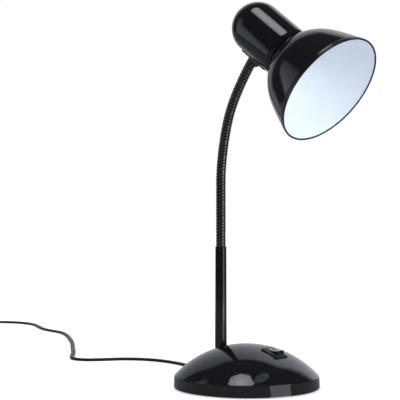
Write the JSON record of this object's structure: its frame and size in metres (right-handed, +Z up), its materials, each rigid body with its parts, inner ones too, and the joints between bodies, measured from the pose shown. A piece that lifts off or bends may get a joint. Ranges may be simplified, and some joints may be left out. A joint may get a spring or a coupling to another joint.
{
  "type": "gooseneck table lamp",
  "caption": "Gooseneck table lamp with a weighted dome base, rocker switch, bell shade, screw lampholder and mains cord.",
  "frame": {"origin": "on the table, under the middle of the base, on the foam pad's underside", "axes": "+Z up, +X from the stem towards the shade's mouth at rest, +Y to the left seen from behind the lamp"},
  "size_m": [0.9546, 0.3617, 0.3823],
  "materials": {
    "gloss_black_plastic": "gloss",
    "gloss_black_metal": "gloss",
    "neck_black": "satin",
    "rocker_black": "gloss",
    "holder_white": "satin",
    "contact_brass": "satin",
    "zinc_steel": "satin",
    "ballast_iron": "rough",
    "plate_steel": "satin",
    "foam_black": "matt",
    "cord_black": "satin",
    "inner_white": "satin",
    "wire_blue": "satin",
    "wire_brown": "satin",
    "grip_white": "satin",
    "pin_nickel": "bright"
  },
  "bodies": {
    "base": {"base_shell": "gloss_black_plastic", "base_plate": "plate_steel", "foam_pad": "foam_black", "base_weight": "ballast_iron", "plate_screws": "zinc_steel", "ballast_screws": "zinc_steel", "stem_tube": "gloss_black_metal", "stem_washer": "zinc_steel", "stem_nut": "zinc_steel", "neck_root": "neck_black", "neck_cable": "inner_white", "switch_housing": "rocker_black", "switch_blades": "contact_brass", "cord_gland": "cord_black", "cord_inner": "cord_black", "cord_saddle": "grip_white", "cord_clamp": "grip_white", "clamp_screws": "zinc_steel", "crimp_cap": "grip_white", "neutral_wires": "wire_blue", "live_wires": "wire_brown", "cord": "cord_black", "cord_coil": "cord_black", "cord_tie": "cord_black", "plug_body": "cord_black", "plug_pins": "pin_nickel"},
    "neck_01": {"neck_link_01": "neck_black"},
    "neck_02": {"neck_link_02": "neck_black"},
    "neck_03": {"neck_link_03": "neck_black"},
    "neck_04": {"neck_link_04": "neck_black"},
    "neck_05": {"neck_link_05": "neck_black"},
    "neck_06": {"neck_link_06": "neck_black"},
    "neck_07": {"neck_link_07": "neck_black"},
    "neck_08": {"neck_link_08": "neck_black"},
    "neck_09": {"neck_link_09": "neck_black"},
    "neck_10": {"neck_link_10": "neck_black"},
    "neck_11": {"neck_link_11": "neck_black"},
    "head": {"neck_tip": "neck_black", "neck_nipple": "zinc_steel", "nipple_washer": "zinc_steel", "nipple_nut": "zinc_steel", "lamp_cap": "gloss_black_plastic", "shade": "gloss_black_metal", "shade_ring": "holder_white", "lampholder_body": "holder_white", "holder_screws": "zinc_steel", "screw_shell": "contact_brass", "centre_contact": "contact_brass", "terminal_blocks": "contact_brass", "terminal_screws": "zinc_steel", "head_wires": "wire_brown"},
    "rocker": {"rocker": "rocker_black"}
  },
  "joints": [
    {"name": "neck_pitch_1", "type": "hinge", "parent": "base", "child": "neck_01", "pos_m": [-0.0332, 0, 0.15304], "axis": [0, 1, 0], "range_deg": [-9, 9], "deforming": ["neck_cable"]},
    {"name": "neck_side_1", "type": "hinge", "parent": "neck_01", "child": "neck_02", "pos_m": [-0.0332, 0, 0.16854], "axis": [1, 0, 0], "range_deg": [-7, 7]},
    {"name": "neck_pitch_2", "type": "hinge", "parent": "neck_02", "child": "neck_03", "pos_m": [-0.0332, 0, 0.18404], "axis": [0, 1, 0], "range_deg": [-9, 9]},
    {"name": "neck_side_2", "type": "hinge", "parent": "neck_03", "child": "neck_04", "pos_m": [-0.0332, 0, 0.19954], "axis": [1, 0, 0], "range_deg": [-7, 7]},
    {"name": "neck_pitch_3", "type": "hinge", "parent": "neck_04", "child": "neck_05", "pos_m": [-0.03282, 0, 0.21503], "axis": [0, 1, 0], "range_deg": [-9, 9]},
    {"name": "neck_side_3", "type": "hinge", "parent": "neck_05", "child": "neck_06", "pos_m": [-0.0313, 0, 0.23045], "axis": [0.9907, 0, -0.1361], "range_deg": [-7, 7]},
    {"name": "neck_pitch_4", "type": "hinge", "parent": "neck_06", "child": "neck_07", "pos_m": [-0.02861, 0, 0.24571], "axis": [0, 1, 0], "range_deg": [-9, 9]},
    {"name": "neck_side_4", "type": "hinge", "parent": "neck_07", "child": "neck_08", "pos_m": [-0.02477, 0, 0.26073], "axis": [0.9588, 0, -0.284], "range_deg": [-7, 7]},
    {"name": "neck_pitch_5", "type": "hinge", "parent": "neck_08", "child": "neck_09", "pos_m": [-0.01981, 0, 0.27541], "axis": [0, 1, 0], "range_deg": [-9, 9]},
    {"name": "neck_side_5", "type": "hinge", "parent": "neck_09", "child": "neck_10", "pos_m": [-0.01376, 0, 0.28967], "axis": [0.905, 0, -0.4254], "range_deg": [-7, 7]},
    {"name": "neck_pitch_6", "type": "hinge", "parent": "neck_10", "child": "neck_11", "pos_m": [-0.00664, 0, 0.30344], "axis": [0, 1, 0], "range_deg": [-9, 9]},
    {"name": "neck_side_6", "type": "hinge", "parent": "neck_11", "child": "head", "pos_m": [0.0015, 0, 0.31663], "axis": [0.8305, 0, -0.557], "range_deg": [-7, 7]},
    {"name": "rocker_press", "type": "hinge", "parent": "base", "child": "rocker", "pos_m": [0.03415, 0, 0.03685], "axis": [0, 1, 0], "range_deg": [0, 28]}
  ],
  "couplings": [
    {"joint": "neck_pitch_2", "follows": "neck_pitch_1", "ratio": 1},
    {"joint": "neck_side_2", "follows": "neck_side_1", "ratio": 1},
    {"joint": "neck_pitch_3", "follows": "neck_pitch_1", "ratio": 1},
    {"joint": "neck_side_3", "follows": "neck_side_1", "ratio": 1},
    {"joint": "neck_pitch_4", "follows": "neck_pitch_1", "ratio": 1},
    {"joint": "neck_side_4", "follows": "neck_side_1", "ratio": 1},
    {"joint": "neck_pitch_5", "follows": "neck_pitch_1", "ratio": 1},
    {"joint": "neck_side_5", "follows": "neck_side_1", "ratio": 1},
    {"joint": "neck_pitch_6", "follows": "neck_pitch_1", "ratio": 1},
    {"joint": "neck_side_6", "follows": "neck_side_1", "ratio": 1}
  ]
}
